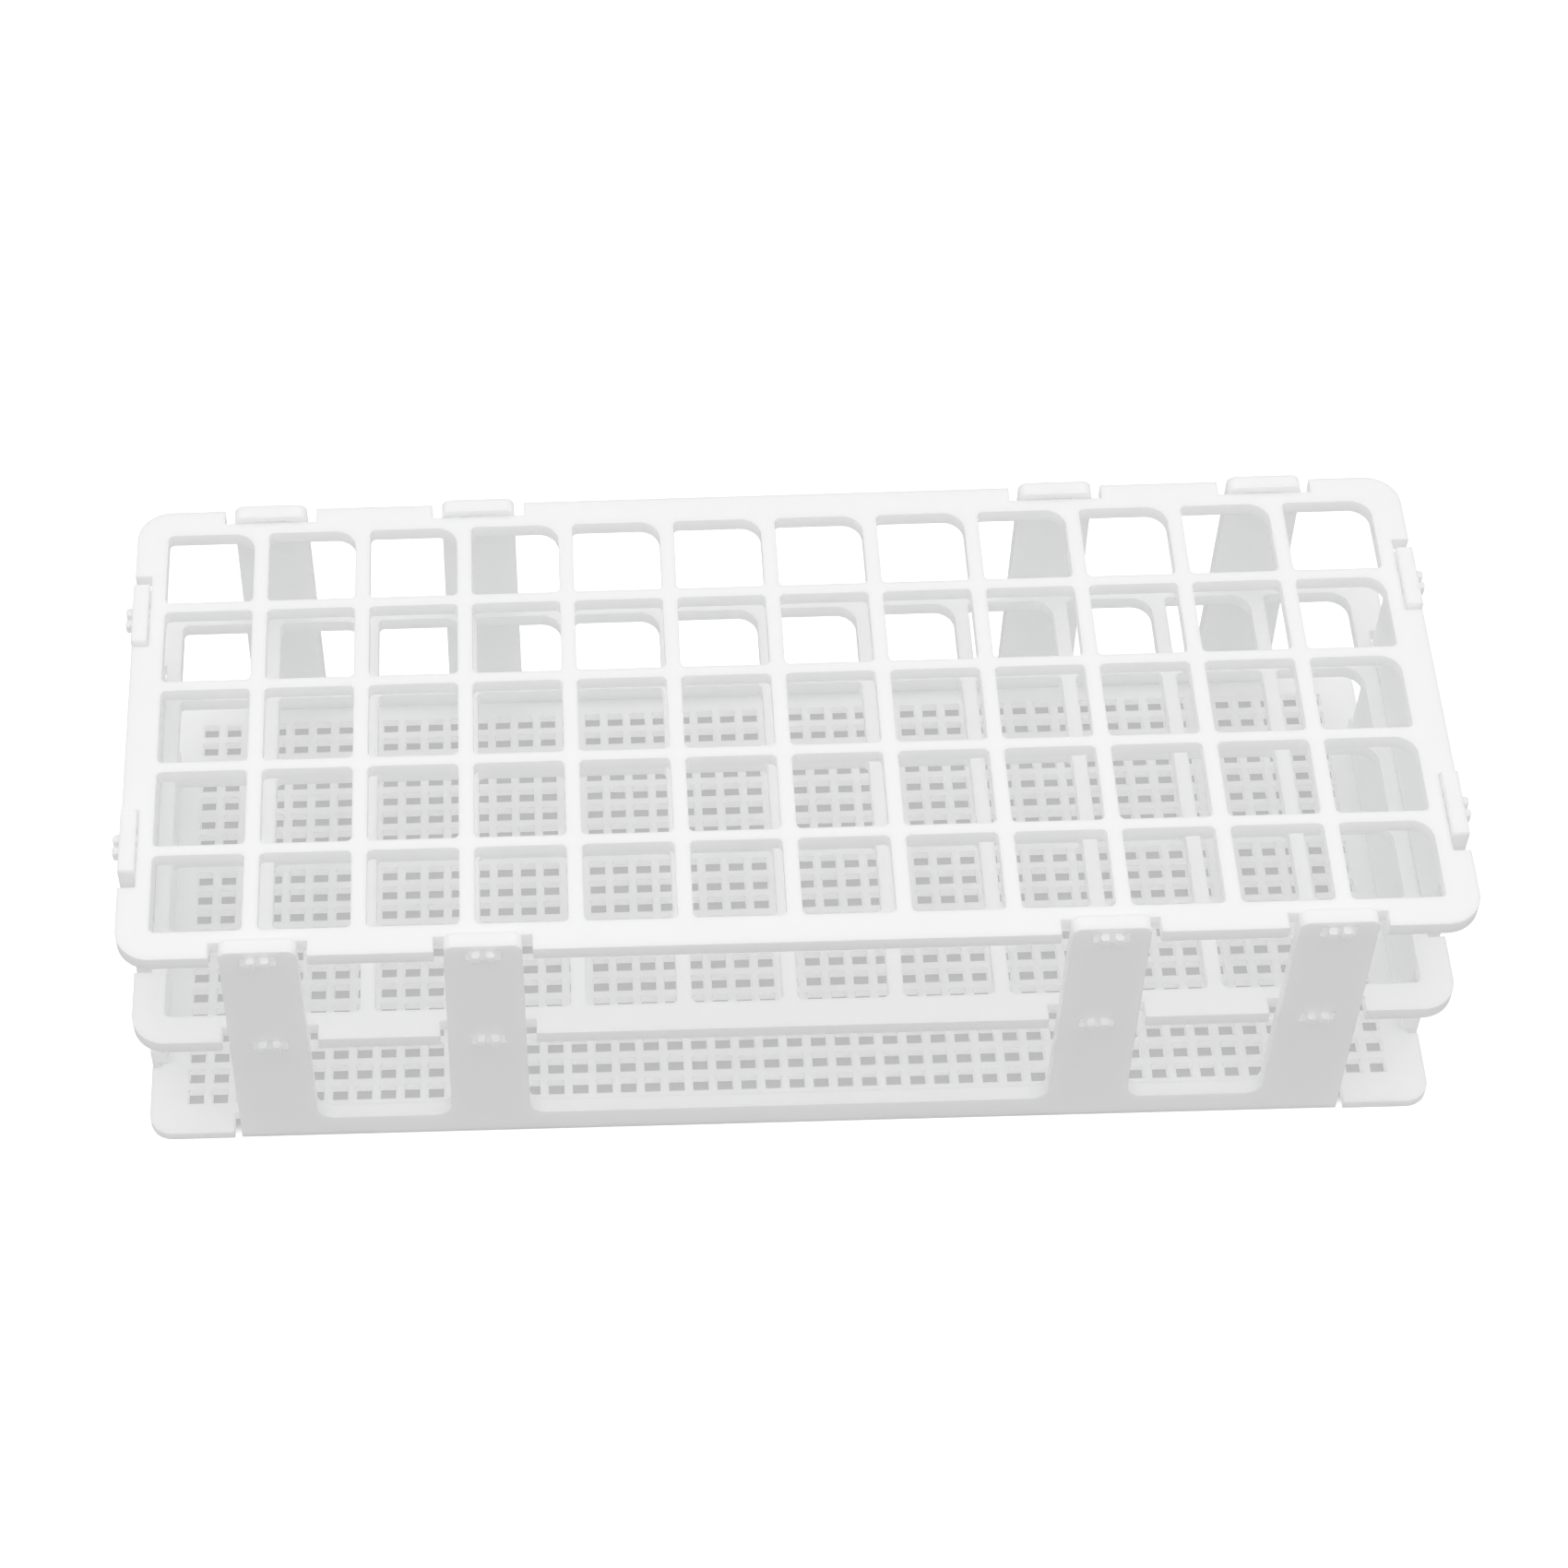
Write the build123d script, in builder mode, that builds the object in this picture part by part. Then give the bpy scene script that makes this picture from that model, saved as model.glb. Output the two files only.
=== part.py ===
"""Flat-pack test tube rack for 60 tubes of 16 mm.

The rack stands on its base. +X runs along its length, +Y to its rear and +Z up, and the origin is
the centre of the base's underside. A perforated base carries four panels on living hinges: a comb
with four uprights at the front and rear, and a wall with two tabs on top at each end. They pass
through notches in the edges of two shelves, and pairs of prongs on the shelves reach out through
slots in the panels. All sizes are in millimetres.
"""
import os

from build123d import *

# Overall size of the assembled rack
LENGTH = 246.0
WIDTH = 104.0
HEIGHT = 65.2

# Base plate and its perforation
BASE_THICKNESS = 2.0
BASE_CORNER_RADIUS = 4.5
PERFORATION_SIDE = 3.0
PERFORATION_PITCH_X = 4.66
PERFORATION_PITCH_Y = 4.62
PERFORATION_COLUMNS = 50
PERFORATION_ROWS = 20

# Shelves and their square tube places
SHELF_THICKNESS = 3.0
SHELF_CORNER_RADIUS = 6.5
TOP_SHELF_TOP = 63.8
MIDDLE_SHELF_TOP = 35.1
TUBE_COLUMNS = 12
TUBE_ROWS = 5
TUBE_PITCH_X = 19.72
TUBE_PITCH_Y = 18.89
TUBE_PLACE_X = 16.87
TUBE_PLACE_Y = 16.68
TUBE_CORNER_RADIUS = 1.0
TUBE_WIDE_CORNER_RADIUS = 4.0

# Front and rear panels: a bar along the bottom, and uprights that widen a little towards it
PANEL_THICKNESS = 3.0
BAR_TOP = 6.5
BAR_FILLET = 3.3
UPRIGHT_WIDTH = 14.1
UPRIGHT_TAPER = 1.0
UPRIGHT_TOP_RADIUS = 1.8
INNER_UPRIGHT = 56.4
OUTER_UPRIGHT = 97.05

# End panels: a wall on a wider foot, with a tab of an upright's width above each end
END_FOOT_HALF = 36.2
END_FOOT_FILLET = 1.0
END_WALL_TOP = 60.6
END_WALL_TAPER = 0.5
END_TAB = 26.45
END_TAB_RADIUS = 0.6

# Slots in the uprights and end walls, and the prongs that reach through them
SLOT_WIDTH = 6.7
SLOT_HEIGHT = 3.0
SLOT_CORNER_RADIUS = 0.4
PRONG_HEIGHT = 2.0
PRONG_TOP_STEP = 0.25
PRONG_GAP = 1.0
PRONG_NECK_WIDTH = 1.4
PRONG_HEAD_WIDTH = 1.65
PRONG_REACH = 1.4
PRONG_TIP_RADIUS = 0.5
PRONG_HEAD_CLEARANCE = 0.2
PRONG_ROOT = 1.0

# Notches in the shelf edges, where the uprights and end panels pass
NOTCH_SIDE_CLEARANCE = 1.9
NOTCH_FLOOR_CLEARANCE = 0.2
NOTCH_CORNER_RADIUS = 3.0
END_NOTCH_OUTER_CLEARANCE = 2.7
END_NOTCH_INNER_CLEARANCE = 0.2
END_NOTCH_CORNER_RADIUS = 1.2

# Living hinges: the base's edge thins at 45 degrees to a strip with a round outer edge
HINGE_RADIUS = 0.3
FOOT_CLEARANCE = 0.15
SIDE_RELIEF_WIDTH = 1.4
SIDE_RELIEF_DEPTH = 4.2
END_RELIEF_WIDTH = 0.7
END_RELIEF_DEPTH = 2.0

# Sizes that follow from the ones above
HALF_LENGTH = LENGTH / 2
HALF_WIDTH = WIDTH / 2
HINGE_STRIP = 2 * HINGE_RADIUS
HINGE_BAND = BASE_THICKNESS
FOOT_HEIGHT = BASE_THICKNESS + FOOT_CLEARANCE
NOTCH_WIDTH = UPRIGHT_WIDTH + 2 * NOTCH_SIDE_CLEARANCE
NOTCH_DEPTH = PANEL_THICKNESS + NOTCH_FLOOR_CLEARANCE
SIDE_BAR_HALF = OUTER_UPRIGHT + UPRIGHT_WIDTH / 2 + UPRIGHT_TAPER
SIDE_UPRIGHTS = (-OUTER_UPRIGHT, -INNER_UPRIGHT, INNER_UPRIGHT, OUTER_UPRIGHT)
END_TABS = (-END_TAB, END_TAB)
END_WALL_HALF = END_TAB + UPRIGHT_WIDTH / 2
END_NOTCH_OUTER = END_WALL_HALF + END_NOTCH_OUTER_CLEARANCE
END_NOTCH_INNER = END_WALL_HALF - UPRIGHT_WIDTH - END_NOTCH_INNER_CLEARANCE
SLOT_CENTRES = (MIDDLE_SHELF_TOP - SHELF_THICKNESS / 2, TOP_SHELF_TOP - SHELF_THICKNESS / 2)
TOLERANCE = 0.01

# The inner face of each panel: local X runs along the panel, local Y is up, and Z points outwards
FRONT = Plane(origin=(0, PANEL_THICKNESS - HALF_WIDTH, 0), x_dir=(1, 0, 0), z_dir=(0, -1, 0))
REAR = Plane(origin=(0, HALF_WIDTH - PANEL_THICKNESS, 0), x_dir=(-1, 0, 0), z_dir=(0, 1, 0))
LEFT = Plane(origin=(PANEL_THICKNESS - HALF_LENGTH, 0, 0), x_dir=(0, -1, 0), z_dir=(-1, 0, 0))
RIGHT = Plane(origin=(HALF_LENGTH - PANEL_THICKNESS, 0, 0), x_dir=(0, 1, 0), z_dir=(1, 0, 0))


def across(panel_plane):
    """The plane that cuts a panel at its middle: local X points outwards and local Y is up."""
    return Plane(origin=panel_plane.origin, x_dir=panel_plane.z_dir, z_dir=-panel_plane.x_dir)


def on_end(vertex):
    """True for a corner on one of the short edges of a plate."""
    return abs(abs(vertex.X) - HALF_LENGTH) < TOLERANCE


def on_side(vertex):
    """True for a corner on one of the long edges of a plate."""
    return abs(abs(vertex.Y) - HALF_WIDTH) < TOLERANCE


def at_bar_top(vertex):
    """True for a corner of a panel's outline at the height where its bar or foot ends."""
    return abs(vertex.Y - BAR_TOP) < TOLERANCE


def make_comb_outline():
    """A front or rear panel: a bar along the bottom with four uprights."""
    with BuildSketch() as comb:
        with Locations((0, (HINGE_STRIP + BAR_TOP) / 2)):
            Rectangle(2 * OUTER_UPRIGHT, BAR_TOP - HINGE_STRIP)
        for centre in SIDE_UPRIGHTS:
            side = 1 if centre > 0 else -1
            inner_edge = centre - side * UPRIGHT_WIDTH / 2
            outer_edge = centre + side * UPRIGHT_WIDTH / 2
            with BuildLine():
                Polyline(
                    (inner_edge, HINGE_STRIP),
                    (outer_edge + side * UPRIGHT_TAPER, HINGE_STRIP),
                    (outer_edge, HEIGHT),
                    (inner_edge, HEIGHT),
                    close=True,
                )
            make_face()
        fillet(comb.vertices().group_by(Axis.Y)[-1], UPRIGHT_TOP_RADIUS)
        fillet(comb.vertices().filter_by(at_bar_top), BAR_FILLET)
    return comb.sketch


def make_wall_outline():
    """An end panel: a wall that stops under the top shelf, a wider foot and two tabs."""
    with BuildSketch() as wall:
        with Locations((0, (HINGE_STRIP + BAR_TOP) / 2)):
            Rectangle(2 * END_FOOT_HALF, BAR_TOP - HINGE_STRIP)
        with BuildLine():
            Polyline(
                (-END_WALL_HALF - END_WALL_TAPER, BAR_TOP),
                (END_WALL_HALF + END_WALL_TAPER, BAR_TOP),
                (END_WALL_HALF, END_WALL_TOP),
                (-END_WALL_HALF, END_WALL_TOP),
                close=True,
            )
        make_face()
        fillet(wall.vertices().filter_by(at_bar_top), END_FOOT_FILLET)
        with Locations(*[(y, END_WALL_TOP) for y in END_TABS]):
            Rectangle(UPRIGHT_WIDTH, HEIGHT - END_WALL_TOP, align=(Align.CENTER, Align.MIN))
        fillet(wall.vertices().group_by(Axis.Y)[-1], END_TAB_RADIUS)
    return wall.sketch


def make_panel(panel_plane, outline, slot_columns):
    """A panel of the given outline, with slots for the prongs and a mitred foot."""
    with BuildPart() as panel:
        with BuildSketch(panel_plane):
            add(outline)
            with Locations(*[(x, z) for x in slot_columns for z in SLOT_CENTRES]):
                RectangleRounded(SLOT_WIDTH, SLOT_HEIGHT, SLOT_CORNER_RADIUS, mode=Mode.SUBTRACT)
        extrude(amount=PANEL_THICKNESS)
        with BuildSketch(across(panel_plane)):
            with BuildLine():
                Polyline(
                    (0, 0),
                    (0, FOOT_HEIGHT),
                    (PANEL_THICKNESS + HINGE_STRIP - FOOT_HEIGHT, FOOT_HEIGHT),
                    (PANEL_THICKNESS, HINGE_STRIP),
                    (PANEL_THICKNESS, 0),
                    close=True,
                )
            make_face()
        extrude(amount=HALF_LENGTH, both=True, mode=Mode.SUBTRACT)
    return panel.part


def make_hinge(panel_plane, bar_half):
    """The thinned band between base and panel, whose round outer edge is the fold line."""
    fold_line = PANEL_THICKNESS - HINGE_RADIUS
    band_start = PANEL_THICKNESS - HINGE_BAND
    with BuildPart() as hinge:
        with BuildSketch(across(panel_plane)):
            with Locations((fold_line, HINGE_RADIUS)):
                Circle(HINGE_RADIUS)
            with BuildLine():
                Polyline(
                    (band_start, 0),
                    (fold_line, 0),
                    (fold_line, HINGE_STRIP),
                    (PANEL_THICKNESS - HINGE_STRIP, HINGE_STRIP),
                    (band_start, HINGE_BAND),
                    close=True,
                )
            make_face()
        extrude(amount=bar_half, both=True)
    return hinge.part


def make_tube_place(rear_right_radius):
    """The outline of one square tube place, whose rear right corner may be wider than the rest."""
    with BuildSketch() as place:
        Rectangle(TUBE_PLACE_X, TUBE_PLACE_Y)
        fillet(place.vertices().sort_by(lambda v: v.X + v.Y)[:-1], TUBE_CORNER_RADIUS)
        fillet(place.vertices().sort_by(lambda v: v.X + v.Y)[-1], rear_right_radius)
    return place.sketch


def make_prong_pair():
    """Two snap fingers seen from above: from a notch floor at the origin out along +Y."""
    head_start = NOTCH_DEPTH + PRONG_HEAD_CLEARANCE
    tip = NOTCH_DEPTH + PRONG_REACH
    with BuildSketch() as pair:
        for side in (-1, 1):
            inner = side * PRONG_GAP / 2
            neck = inner + side * PRONG_NECK_WIDTH
            head = inner + side * PRONG_HEAD_WIDTH
            with BuildLine():
                Polyline(
                    (inner, -PRONG_ROOT),
                    (inner, tip),
                    (head, tip),
                    (head, head_start),
                    (neck, head_start),
                    (neck, -PRONG_ROOT),
                    close=True,
                )
            make_face()
        fillet(pair.vertices().group_by(Axis.Y)[-1], PRONG_TIP_RADIUS)
    return pair.sketch


def tube_place_centres():
    """Centres of the plain places, and of those in the rear row or the right-hand column."""
    plain = []
    wide_cornered = []
    for column in range(TUBE_COLUMNS):
        for row in range(TUBE_ROWS):
            x = (column - (TUBE_COLUMNS - 1) / 2) * TUBE_PITCH_X
            y = (row - (TUBE_ROWS - 1) / 2) * TUBE_PITCH_Y
            at_edge = column == TUBE_COLUMNS - 1 or row == TUBE_ROWS - 1
            (wide_cornered if at_edge else plain).append((x, y))
    return plain, wide_cornered


def make_shelf(top, end_notches):
    """A notched plate with twelve by five tube places, and a pair of prongs for each slot."""
    bottom = top - SHELF_THICKNESS
    floor_y = HALF_WIDTH - NOTCH_DEPTH
    floor_x = HALF_LENGTH - NOTCH_DEPTH
    plain, wide_cornered = tube_place_centres()
    plain_place = make_tube_place(TUBE_CORNER_RADIUS)
    wide_cornered_place = make_tube_place(TUBE_WIDE_CORNER_RADIUS)
    prong_pair = make_prong_pair()
    with BuildPart() as shelf:
        with BuildSketch(Plane.XY.offset(bottom)) as plate:
            Rectangle(LENGTH, WIDTH)
            with Locations(*[(x, s * HALF_WIDTH) for x in SIDE_UPRIGHTS for s in (-1, 1)]):
                Rectangle(NOTCH_WIDTH, 2 * NOTCH_DEPTH, mode=Mode.SUBTRACT)
            for start, stop in end_notches:
                with Locations(*[(s * HALF_LENGTH, (start + stop) / 2) for s in (-1, 1)]):
                    Rectangle(2 * NOTCH_DEPTH, stop - start, mode=Mode.SUBTRACT)
            outline = plate.vertices()
            corners = outline.filter_by(lambda v: on_side(v) and on_end(v))
            beside_uprights = outline.filter_by(lambda v: on_side(v) and not on_end(v))
            beside_ends = outline.filter_by(
                lambda v: on_end(v) and abs(abs(v.Y) - END_NOTCH_OUTER) < TOLERANCE
            )
            fillet(corners, SHELF_CORNER_RADIUS)
            fillet(beside_uprights, NOTCH_CORNER_RADIUS)
            fillet(beside_ends, END_NOTCH_CORNER_RADIUS)
            with Locations(*plain):
                add(plain_place, mode=Mode.SUBTRACT)
            with Locations(*wide_cornered):
                add(wide_cornered_place, mode=Mode.SUBTRACT)
        extrude(amount=SHELF_THICKNESS)
        with BuildSketch(Plane.XY.offset(top - PRONG_TOP_STEP - PRONG_HEIGHT)):
            with Locations(*[Location((x, floor_y, 0)) for x in SIDE_UPRIGHTS]):
                add(prong_pair)
            with Locations(*[Location((x, -floor_y, 0), (0, 0, 180)) for x in SIDE_UPRIGHTS]):
                add(prong_pair)
            with Locations(*[Location((-floor_x, y, 0), (0, 0, 90)) for y in END_TABS]):
                add(prong_pair)
            with Locations(*[Location((floor_x, y, 0), (0, 0, -90)) for y in END_TABS]):
                add(prong_pair)
        extrude(amount=PRONG_HEIGHT)
    return shelf.part


def make_base():
    """A perforated plate with a shallow bay for each panel and a slit at each end of a bay."""
    side_slit = SIDE_BAR_HALF + SIDE_RELIEF_WIDTH / 2
    end_slit = END_FOOT_HALF + END_RELIEF_WIDTH / 2
    with BuildPart() as base:
        with BuildSketch():
            RectangleRounded(LENGTH, WIDTH, BASE_CORNER_RADIUS)
            with Locations((0, -HALF_WIDTH), (0, HALF_WIDTH)):
                Rectangle(2 * SIDE_BAR_HALF, 2 * HINGE_BAND, mode=Mode.SUBTRACT)
            with Locations(*[(i * side_slit, j * HALF_WIDTH) for i in (-1, 1) for j in (-1, 1)]):
                Rectangle(SIDE_RELIEF_WIDTH, 2 * SIDE_RELIEF_DEPTH, mode=Mode.SUBTRACT)
            with Locations((-HALF_LENGTH, 0), (HALF_LENGTH, 0)):
                Rectangle(2 * HINGE_BAND, 2 * END_FOOT_HALF, mode=Mode.SUBTRACT)
            with Locations(*[(i * HALF_LENGTH, j * end_slit) for i in (-1, 1) for j in (-1, 1)]):
                Rectangle(2 * END_RELIEF_DEPTH, END_RELIEF_WIDTH, mode=Mode.SUBTRACT)
            with GridLocations(
                PERFORATION_PITCH_X, PERFORATION_PITCH_Y, PERFORATION_COLUMNS, PERFORATION_ROWS
            ):
                Rectangle(PERFORATION_SIDE, PERFORATION_SIDE, mode=Mode.SUBTRACT)
        extrude(amount=BASE_THICKNESS, clean=False)
    return base.part


comb_outline = make_comb_outline()
wall_outline = make_wall_outline()
tab_notches = [(-END_NOTCH_OUTER, -END_NOTCH_INNER), (END_NOTCH_INNER, END_NOTCH_OUTER)]
wall_notch = [(-END_NOTCH_OUTER, END_NOTCH_OUTER)]

pieces = {
    "base_plate": make_base(),
    "front_panel": make_panel(FRONT, comb_outline, SIDE_UPRIGHTS),
    "rear_panel": make_panel(REAR, comb_outline, SIDE_UPRIGHTS),
    "left_end_panel": make_panel(LEFT, wall_outline, END_TABS),
    "right_end_panel": make_panel(RIGHT, wall_outline, END_TABS),
    "front_living_hinge": make_hinge(FRONT, SIDE_BAR_HALF),
    "rear_living_hinge": make_hinge(REAR, SIDE_BAR_HALF),
    "left_living_hinge": make_hinge(LEFT, END_FOOT_HALF),
    "right_living_hinge": make_hinge(RIGHT, END_FOOT_HALF),
    "middle_shelf": make_shelf(MIDDLE_SHELF_TOP, wall_notch),
    "top_shelf": make_shelf(TOP_SHELF_TOP, tab_notches),
}

os.makedirs("parts", exist_ok=True)
for name, piece in pieces.items():
    piece.label = name
    export_step(piece, f"parts/{name}.step")
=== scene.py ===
"""Looks of the flat-pack test tube rack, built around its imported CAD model."""
import math

import bpy
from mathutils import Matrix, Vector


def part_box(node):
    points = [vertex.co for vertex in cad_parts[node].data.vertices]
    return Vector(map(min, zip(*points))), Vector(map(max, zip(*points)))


# Camera: a long lens from the front and above, shifted so that the rack sits left of centre
CAMERA_PLACE = (-0.03894, -0.42270, 0.63771)
CAMERA_TURN = (37.491, 1.852, -0.697)
CAMERA_LENS = 87.12
CAMERA_SHIFT = (0.1800, -0.0912)
CAMERA_SENSOR = 36
CAMERA_NEAREST = 0.01

# Plastic: satin white polypropylene
PLASTIC_WHITE = (0.95, 0.952, 0.952, 1)
PLASTIC_SHADE = (0.93, 0.933, 0.935, 1)
PLASTIC_IOR = 1.49
CLOUD_SCALE = 35
CLOUD_DETAIL = 4
CLOUD_RANGE = (0.35, 0.65)
ROUGHNESS_RANGE = (0.34, 0.46)
GRAIN_SCALE = 2600
GRAIN_DETAIL = 2
GRAIN_STRENGTH = 0.08
GRAIN_DEPTH = 0.0001
MOULDED_EDGE = 0.00025
SOAK_WEIGHT = 0.8
SOAK_DEPTH = 0.002

# Painted light: an emission glow painted into sheltered places, standing in for light that comes
# through the thin walls
SHELTER_REACH = 0.03
PAINTED_SHELTER_GLOW = 0.06
SHADER_SAMPLES = 4

# Studio: a soft white tent with a brighter patch overhead and a little more light behind
SKY_LEVEL = 0.71
SKY_OVERHEAD = 1.0
SKY_OVERHEAD_FOCUS = 6
SKY_REAR = 0.1

# White walls pass light on many times before it fades
LIGHT_BOUNCES = 16
DIFFUSE_BOUNCES = 12

# Floor: a pale sweep, blown out to white where it is open, with a painted shadow that turns it
# grey where the base covers it.
# The light that it throws back is the other way round: a painted glow, stronger under the base,
# standing in for the tent shining in under the base.
FLOOR_GREY = (0.3, 0.3, 0.3, 1)
FLOOR_ROUGHNESS = 0.9
FLOOR_SIDE = 8
FLOOR_DROP = 0.0002
FLOOR_SEEN_PAINTED_SHADE = (0.27, 1.0)
FLOOR_BOUNCE_PAINTED_LIGHT = (0.43, 0.25)
# Width of the fade and inset of the footprint that shape the painted shadow and painted glow
FLOOR_FADE = 0.002
FLOOR_MARGIN = 0.0015


def link_math(nodes, links, operation, first, second):
    """A math node fed by a socket and a socket or a number."""
    node = nodes.new("ShaderNodeMath")
    node.operation = operation
    for slot, value in enumerate((first, second)):
        if isinstance(value, (int, float)):
            node.inputs[slot].default_value = value
        else:
            links.new(value, node.inputs[slot])
    return node.outputs["Value"]


def white_polypropylene(name):
    """Satin moulded plastic: faint cloudiness, the tool's fine grain, light that soaks in and a
    painted glow in sheltered places.
    """
    material = bpy.data.materials.new(name)
    material.use_nodes = True
    nodes, links = material.node_tree.nodes, material.node_tree.links
    shader = nodes["Principled BSDF"]
    place = nodes.new("ShaderNodeTexCoord")

    cloud = nodes.new("ShaderNodeTexNoise")
    cloud.inputs["Scale"].default_value = CLOUD_SCALE
    cloud.inputs["Detail"].default_value = CLOUD_DETAIL
    links.new(place.outputs["Object"], cloud.inputs["Vector"])

    tint = nodes.new("ShaderNodeValToRGB")
    stops = zip(tint.color_ramp.elements, CLOUD_RANGE, (PLASTIC_SHADE, PLASTIC_WHITE))
    for stop, position, colour in stops:
        stop.position = position
        stop.color = colour
    links.new(cloud.outputs["Fac"], tint.inputs["Fac"])
    links.new(tint.outputs["Color"], shader.inputs["Base Color"])

    sheen = nodes.new("ShaderNodeMapRange")
    sheen.inputs["To Min"].default_value, sheen.inputs["To Max"].default_value = ROUGHNESS_RANGE
    links.new(cloud.outputs["Fac"], sheen.inputs["Value"])
    links.new(sheen.outputs["Result"], shader.inputs["Roughness"])

    grain = nodes.new("ShaderNodeTexNoise")
    grain.inputs["Scale"].default_value = GRAIN_SCALE
    grain.inputs["Detail"].default_value = GRAIN_DETAIL
    links.new(place.outputs["Object"], grain.inputs["Vector"])
    edge = nodes.new("ShaderNodeBevel")
    edge.inputs["Radius"].default_value = MOULDED_EDGE
    edge.samples = SHADER_SAMPLES
    bump = nodes.new("ShaderNodeBump")
    links.new(edge.outputs["Normal"], bump.inputs["Normal"])
    bump.inputs["Strength"].default_value = GRAIN_STRENGTH
    bump.inputs["Distance"].default_value = GRAIN_DEPTH
    links.new(grain.outputs["Fac"], bump.inputs["Height"])
    links.new(bump.outputs["Normal"], shader.inputs["Normal"])

    # Painted light: the surface glows where ambient occlusion finds it hemmed in, a painted
    # brightening of crevices and insides
    shelter = nodes.new("ShaderNodeAmbientOcclusion")
    shelter.inputs["Distance"].default_value = SHELTER_REACH
    shelter.samples = SHADER_SAMPLES
    shade = link_math(nodes, links, "SUBTRACT", 1, shelter.outputs["AO"])
    painted_glow = link_math(nodes, links, "MULTIPLY", shade, PAINTED_SHELTER_GLOW)
    shader.inputs["Emission Color"].default_value = (1, 1, 1, 1)
    links.new(painted_glow, shader.inputs["Emission Strength"])

    shader.inputs["IOR"].default_value = PLASTIC_IOR
    shader.inputs["Subsurface Weight"].default_value = SOAK_WEIGHT
    shader.inputs["Subsurface Radius"].default_value = (1, 1, 1)
    shader.inputs["Subsurface Scale"].default_value = SOAK_DEPTH
    return material


def fade_between(nodes, links, distance, levels):
    """A smooth step from the first level to the second where the distance passes zero."""
    fade = nodes.new("ShaderNodeMapRange")
    fade.interpolation_type = "SMOOTHSTEP"
    fade.inputs["From Min"].default_value = -FLOOR_FADE
    fade.inputs["From Max"].default_value = FLOOR_FADE
    fade.inputs["To Min"].default_value, fade.inputs["To Max"].default_value = levels
    links.new(distance, fade.inputs["Value"])
    return fade.outputs["Result"]


def pale_floor(half_length, half_width):
    """A floor with painted light: a painted shadow under the footprint of the rack, white around
    it, and for other rays a painted glow that is stronger under the rack.
    """
    bpy.ops.mesh.primitive_plane_add(size=FLOOR_SIDE, location=(0, 0, -FLOOR_DROP))
    floor = bpy.context.object
    floor.name = "floor"
    material = bpy.data.materials.new("floor")
    material.use_nodes = True
    nodes, links = material.node_tree.nodes, material.node_tree.links
    place = nodes.new("ShaderNodeTexCoord")
    split = nodes.new("ShaderNodeSeparateXYZ")
    links.new(place.outputs["Object"], split.inputs["Vector"])
    along = link_math(nodes, links, "ABSOLUTE", split.outputs["X"], 0)
    across = link_math(nodes, links, "ABSOLUTE", split.outputs["Y"], 0)
    past_end = link_math(nodes, links, "SUBTRACT", along, half_length)
    past_side = link_math(nodes, links, "SUBTRACT", across, half_width)
    outside = link_math(nodes, links, "MAXIMUM", past_end, past_side)
    # Painted shadow: the floor the camera sees is dark under the base and white around it
    seen_with_painted_shade = fade_between(nodes, links, outside, FLOOR_SEEN_PAINTED_SHADE)
    # Painted light: the floor throws more light back under the base than around it
    painted_bounce = fade_between(nodes, links, outside, FLOOR_BOUNCE_PAINTED_LIGHT)
    # Camera rays see the painted shadow, all other rays the painted glow
    ray = nodes.new("ShaderNodeLightPath")
    painted_floor_glow = nodes.new("ShaderNodeMix")
    links.new(ray.outputs["Is Camera Ray"], painted_floor_glow.inputs["Factor"])
    links.new(painted_bounce, painted_floor_glow.inputs["A"])
    links.new(seen_with_painted_shade, painted_floor_glow.inputs["B"])
    shader = nodes["Principled BSDF"]
    shader.inputs["Base Color"].default_value = FLOOR_GREY
    shader.inputs["Roughness"].default_value = FLOOR_ROUGHNESS
    shader.inputs["Emission Color"].default_value = (1, 1, 1, 1)
    links.new(painted_floor_glow.outputs["Result"], shader.inputs["Emission Strength"])
    floor.data.materials.append(material)


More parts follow.
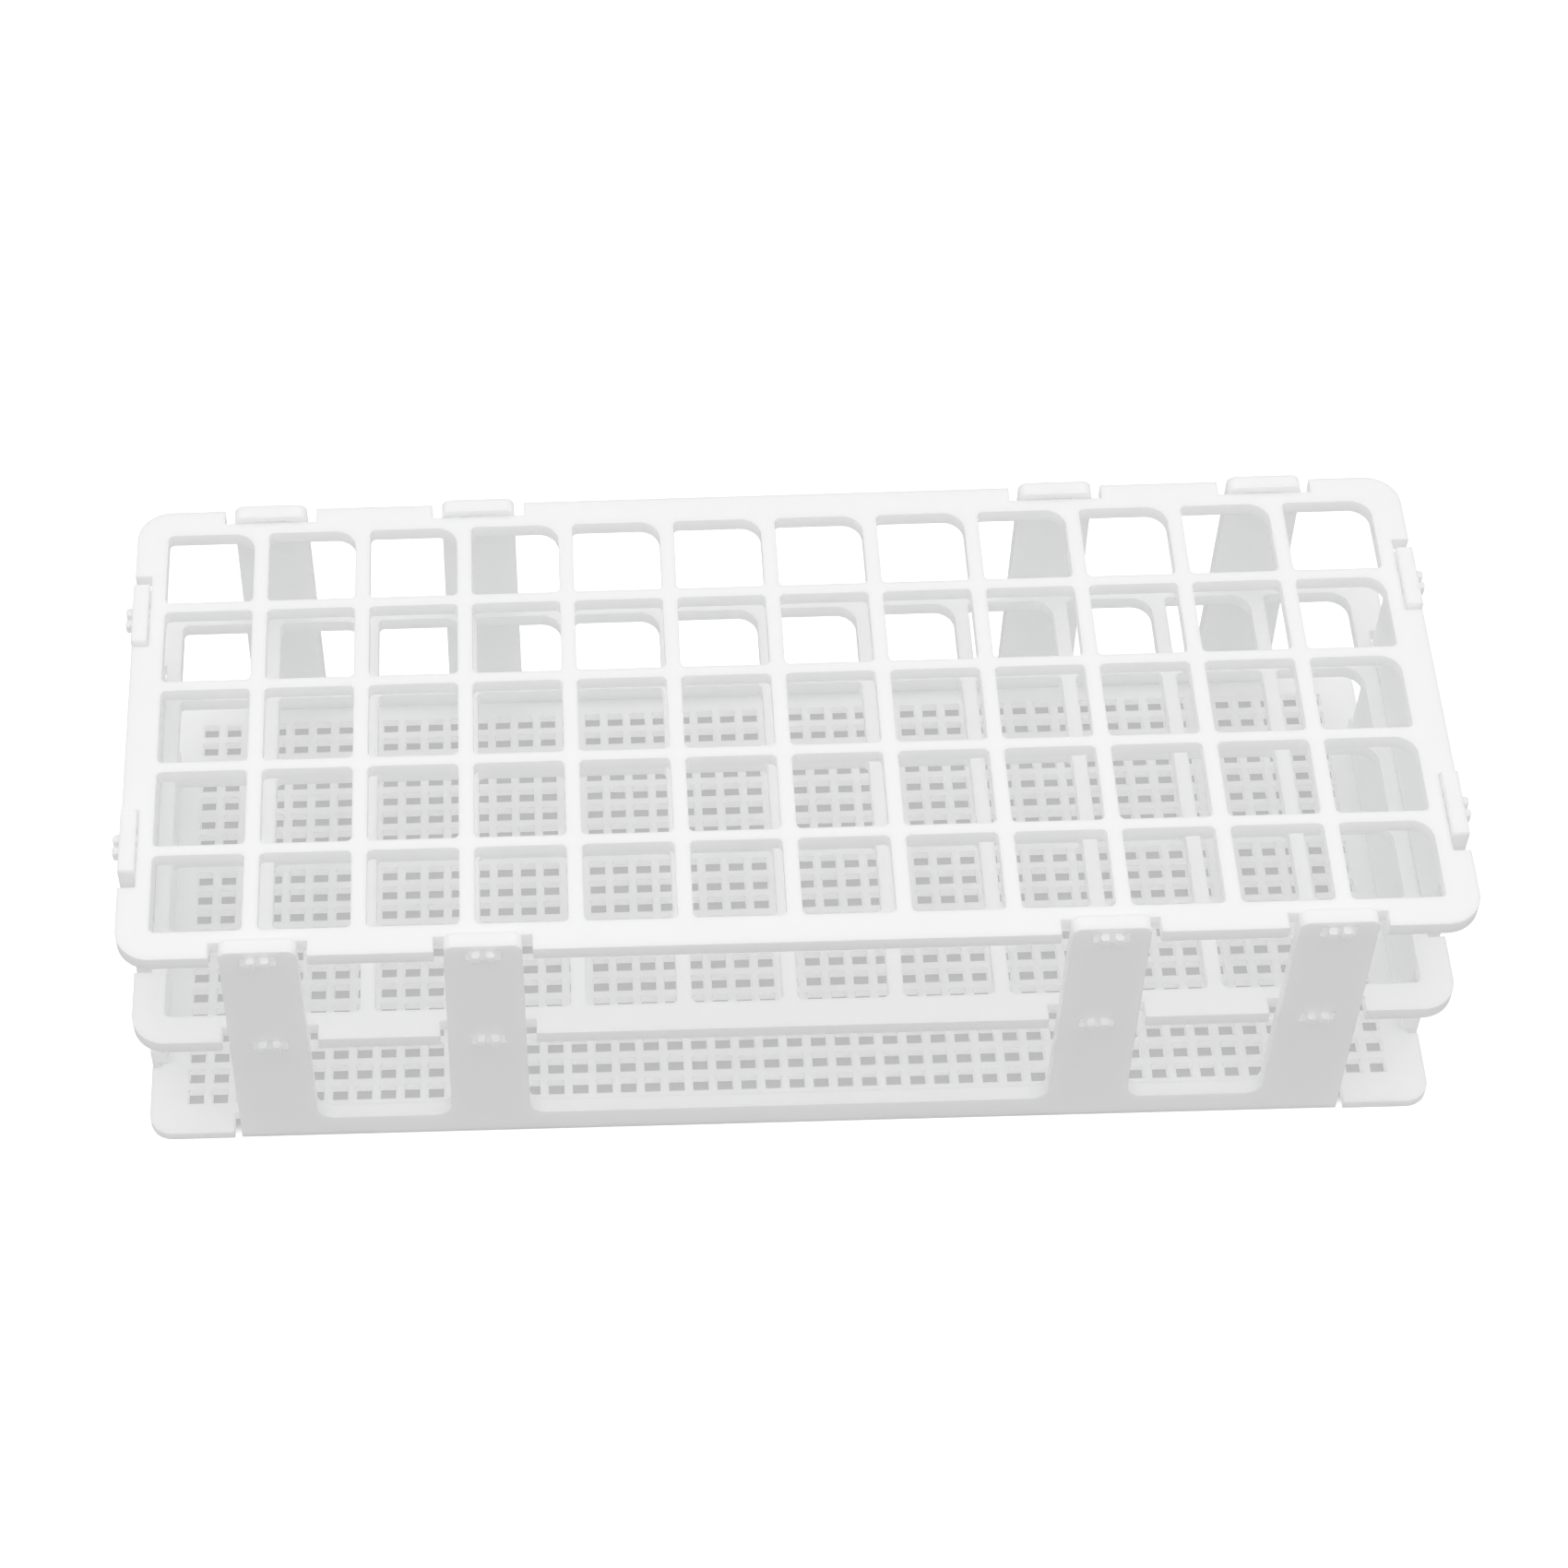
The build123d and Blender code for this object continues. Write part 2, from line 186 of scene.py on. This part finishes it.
def studio():
    """Soft light from all around, brighter from above and behind."""
    world = bpy.data.worlds.new("studio")
    bpy.context.scene.world = world
    world.use_nodes = True
    nodes, links = world.node_tree.nodes, world.node_tree.links
    way = nodes.new("ShaderNodeTexCoord")
    split = nodes.new("ShaderNodeSeparateXYZ")
    links.new(way.outputs["Generated"], split.inputs["Vector"])
    upward = link_math(nodes, links, "MAXIMUM", split.outputs["Z"], 0)
    zenith = link_math(nodes, links, "POWER", upward, SKY_OVERHEAD_FOCUS)
    overhead = link_math(nodes, links, "MULTIPLY", zenith, SKY_OVERHEAD)
    rear = link_math(nodes, links, "MULTIPLY", split.outputs["Y"], SKY_REAR)
    slope = link_math(nodes, links, "ADD", overhead, rear)
    level = link_math(nodes, links, "ADD", slope, SKY_LEVEL)
    light = link_math(nodes, links, "MAXIMUM", level, 0)
    links.new(light, nodes["Background"].inputs["Strength"])
    nodes["Background"].inputs["Color"].default_value = (1, 1, 1, 1)
    bpy.context.scene.view_settings.view_transform = "Standard"
    bpy.context.scene.cycles.max_bounces = LIGHT_BOUNCES
    bpy.context.scene.cycles.diffuse_bounces = DIFFUSE_BOUNCES


def camera():
    """The fixed camera of the front view."""
    data = bpy.data.cameras.new("camera")
    data.lens = CAMERA_LENS
    data.sensor_width = CAMERA_SENSOR
    data.shift_x, data.shift_y = CAMERA_SHIFT
    data.clip_start = CAMERA_NEAREST
    view = bpy.data.objects.new("camera", data)
    view.location = CAMERA_PLACE
    view.rotation_euler = [math.radians(turn) for turn in CAMERA_TURN]
    bpy.context.collection.objects.link(view)
    bpy.context.scene.camera = view


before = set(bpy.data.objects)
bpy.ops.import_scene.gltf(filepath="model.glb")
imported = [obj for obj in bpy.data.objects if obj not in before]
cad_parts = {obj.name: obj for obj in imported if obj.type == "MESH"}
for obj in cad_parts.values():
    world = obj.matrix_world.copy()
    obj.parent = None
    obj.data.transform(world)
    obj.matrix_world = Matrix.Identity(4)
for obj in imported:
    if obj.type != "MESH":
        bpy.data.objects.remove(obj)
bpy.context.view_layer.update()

plastic = white_polypropylene("white_polypropylene")
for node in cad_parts.values():
    node.data.materials.clear()
    node.data.materials.append(plastic)

base_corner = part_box("base_plate")[1]
pale_floor(base_corner[0] - FLOOR_MARGIN, base_corner[1] - FLOOR_MARGIN)
studio()
camera()
